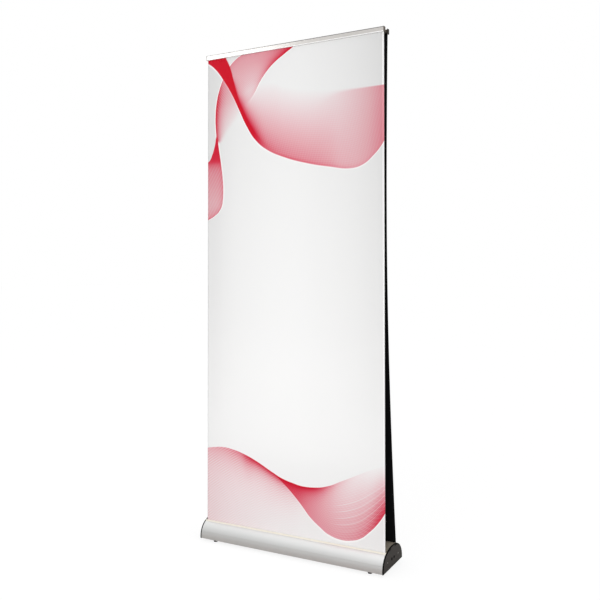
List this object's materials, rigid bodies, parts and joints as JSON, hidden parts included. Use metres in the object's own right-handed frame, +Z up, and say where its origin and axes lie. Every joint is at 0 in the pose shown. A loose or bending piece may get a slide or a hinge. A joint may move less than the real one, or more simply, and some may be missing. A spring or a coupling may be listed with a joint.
{
  "type": "roll-up banner stand",
  "caption": "Double-sided roll-up banner stand: printed banners rise from spring rollers in a wide rounded aluminium base to snap rails on a telescopic pole",
  "frame": {"origin": "on the floor under the pole, in the middle of the base", "axes": "+X along the base to the right, -Y towards the front banner, +Z up"},
  "size_m": [0.868, 0.2044, 2.1584],
  "materials": {
    "anodised_silver": "satin anodised, fine lengthwise extrusion lines",
    "deck_aluminium": "satin anodised, mirrors the dark backs of the banners",
    "mill_aluminium": "mill finish",
    "pole_aluminium": "satin anodised tube",
    "rail_aluminium": "satin anodised, brushed lengthwise",
    "cap_plastic": "fine-grained dark grey moulding",
    "rail_cap_plastic": "dark brown-grey moulding",
    "black_plastic": "black moulding",
    "grey_plastic": "grey moulding",
    "wiper_felt": "cream woven pile strip",
    "plate_steel": "zinc plated",
    "screw_black": "black oxide",
    "screw_zinc": "zinc plated",
    "axle_steel": "bright drawn",
    "spring_steel": "oiled spring wire",
    "insert_brass": "turned",
    "banner_film": "printed satin polyester film, black blockout back",
    "roll_film": "printed satin polyester film, wound",
    "grip_rubber": "matt extruded rubber",
    "foot_rubber": "matt moulded rubber"
  },
  "bodies": {
    "base": {"base_tray": "mill_aluminium", "front_cover": "anodised_silver", "rear_cover": "anodised_silver", "top_deck": "deck_aluminium", "front_wiper_strip": "wiper_felt", "rear_wiper_strip": "wiper_felt", "left_end_cap": "cap_plastic", "right_end_cap": "cap_plastic", "left_bearing_plate": "plate_steel", "right_bearing_plate": "plate_steel", "cap_port_screws": "screw_black", "cap_plate_screws": "screw_zinc", "pole_socket": "black_plastic", "socket_screws": "screw_zinc", "pole_grommet": "black_plastic", "foot_inserts": "insert_brass", "front_idle_pin": "axle_steel", "rear_idle_pin": "axle_steel", "front_spring_shaft": "axle_steel", "rear_spring_shaft": "axle_steel", "front_torsion_spring": "spring_steel", "rear_torsion_spring": "spring_steel", "front_banner": "banner_film", "rear_banner": "banner_film", "pole_foot_plug": "black_plastic", "pole_lower_tube": "pole_aluminium"},
    "front_roller": {"front_roller_tube": "mill_aluminium", "front_idle_plug": "grey_plastic", "front_spring_plug": "grey_plastic", "front_film_roll": "roll_film"},
    "rear_roller": {"rear_roller_tube": "mill_aluminium", "rear_idle_plug": "grey_plastic", "rear_spring_plug": "grey_plastic", "rear_film_roll": "roll_film"},
    "pole_middle": {"pole_middle_tube": "pole_aluminium", "pole_middle_bush": "grey_plastic"},
    "pole_top": {"pole_top_tube": "pole_aluminium", "pole_top_bush": "grey_plastic", "pole_head": "black_plastic", "front_rail": "rail_aluminium", "rear_rail": "rail_aluminium", "front_rail_end_caps": "rail_cap_plastic", "rear_rail_end_caps": "rail_cap_plastic", "front_rail_hanger": "black_plastic", "rear_rail_hanger": "black_plastic"},
    "front_jaw": {"front_rail_jaw": "rail_aluminium", "front_grip_strip": "grip_rubber"},
    "rear_jaw": {"rear_rail_jaw": "rail_aluminium", "rear_grip_strip": "grip_rubber"},
    "lower_lock": {"lower_lock_collar": "black_plastic"},
    "upper_lock": {"upper_lock_collar": "black_plastic"},
    "front_left_pad": {"front_left_foot_pad": "foot_rubber"},
    "front_left_stud": {"front_left_foot_stud": "screw_zinc"},
    "front_right_pad": {"front_right_foot_pad": "foot_rubber"},
    "front_right_stud": {"front_right_foot_stud": "screw_zinc"},
    "rear_left_pad": {"rear_left_foot_pad": "foot_rubber"},
    "rear_left_stud": {"rear_left_foot_stud": "screw_zinc"},
    "rear_right_pad": {"rear_right_foot_pad": "foot_rubber"},
    "rear_right_stud": {"rear_right_foot_stud": "screw_zinc"}
  },
  "joints": [
    {"name": "pole_top_slide", "type": "slide", "parent": "pole_middle", "child": "pole_top", "axis": [0, 0, 1], "range_m": [-0.62, 0], "deforming": ["front_banner", "rear_banner"]},
    {"name": "pole_middle_slide", "type": "slide", "parent": "base", "child": "pole_middle", "axis": [0, 0, 1], "range_m": [-0.62, 0]},
    {"name": "front_roller_spin", "type": "hinge", "parent": "base", "child": "front_roller", "pos_m": [0, -0.04178, 0.045], "axis": [1, 0, 0], "range_deg": [0, 4387]},
    {"name": "rear_roller_spin", "type": "hinge", "parent": "base", "child": "rear_roller", "pos_m": [0, 0.04178, 0.045], "axis": [1, 0, 0], "range_deg": [-4387, 0]},
    {"name": "front_jaw_hinge", "type": "hinge", "parent": "pole_top", "child": "front_jaw", "pos_m": [0, -0.02, 2.1542], "axis": [-1, 0, 0], "range_deg": [0, 60]},
    {"name": "rear_jaw_hinge", "type": "hinge", "parent": "pole_top", "child": "rear_jaw", "pos_m": [0, 0.02, 2.1542], "axis": [1, 0, 0], "range_deg": [0, 60]},
    {"name": "lower_lock_turn", "type": "hinge", "parent": "base", "child": "lower_lock", "pos_m": [0, 0, 0.76267], "axis": [0, 0, 1], "range_deg": [0, 90]},
    {"name": "upper_lock_turn", "type": "hinge", "parent": "pole_middle", "child": "upper_lock", "pos_m": [0, 0, 1.44533], "axis": [0, 0, 1], "range_deg": [0, 90]},
    {"name": "front_left_foot_slide", "type": "slide", "parent": "base", "child": "front_left_pad", "axis": [0, 0, 1], "range_m": [-0.006, 0]},
    {"name": "front_left_foot_turn", "type": "hinge", "parent": "front_left_pad", "child": "front_left_stud", "pos_m": [-0.368, -0.078, 0.006], "axis": [0, 0, 1], "range_deg": [0, 1730]},
    {"name": "front_right_foot_slide", "type": "slide", "parent": "base", "child": "front_right_pad", "axis": [0, 0, 1], "range_m": [-0.006, 0]},
    {"name": "front_right_foot_turn", "type": "hinge", "parent": "front_right_pad", "child": "front_right_stud", "pos_m": [0.368, -0.078, 0.006], "axis": [0, 0, 1], "range_deg": [0, 1730]},
    {"name": "rear_left_foot_slide", "type": "slide", "parent": "base", "child": "rear_left_pad", "axis": [0, 0, 1], "range_m": [-0.006, 0]},
    {"name": "rear_left_foot_turn", "type": "hinge", "parent": "rear_left_pad", "child": "rear_left_stud", "pos_m": [-0.368, 0.078, 0.006], "axis": [0, 0, 1], "range_deg": [0, 1730]},
    {"name": "rear_right_foot_slide", "type": "slide", "parent": "base", "child": "rear_right_pad", "axis": [0, 0, 1], "range_m": [-0.006, 0]},
    {"name": "rear_right_foot_turn", "type": "hinge", "parent": "rear_right_pad", "child": "rear_right_stud", "pos_m": [0.368, 0.078, 0.006], "axis": [0, 0, 1], "range_deg": [0, 1730]}
  ],
  "couplings": [
    {"joint": "pole_middle_slide", "follows": "pole_top_slide", "ratio": 1},
    {"joint": "front_roller_spin", "follows": "pole_top_slide", "rad_per_m": -123.46},
    {"joint": "rear_roller_spin", "follows": "pole_top_slide", "rad_per_m": 123.46},
    {"joint": "front_left_foot_turn", "follows": "front_left_foot_slide", "rad_per_m": -5026.6},
    {"joint": "front_right_foot_turn", "follows": "front_right_foot_slide", "rad_per_m": -5026.6},
    {"joint": "rear_left_foot_turn", "follows": "rear_left_foot_slide", "rad_per_m": -5026.6},
    {"joint": "rear_right_foot_turn", "follows": "rear_right_foot_slide", "rad_per_m": -5026.6}
  ]
}
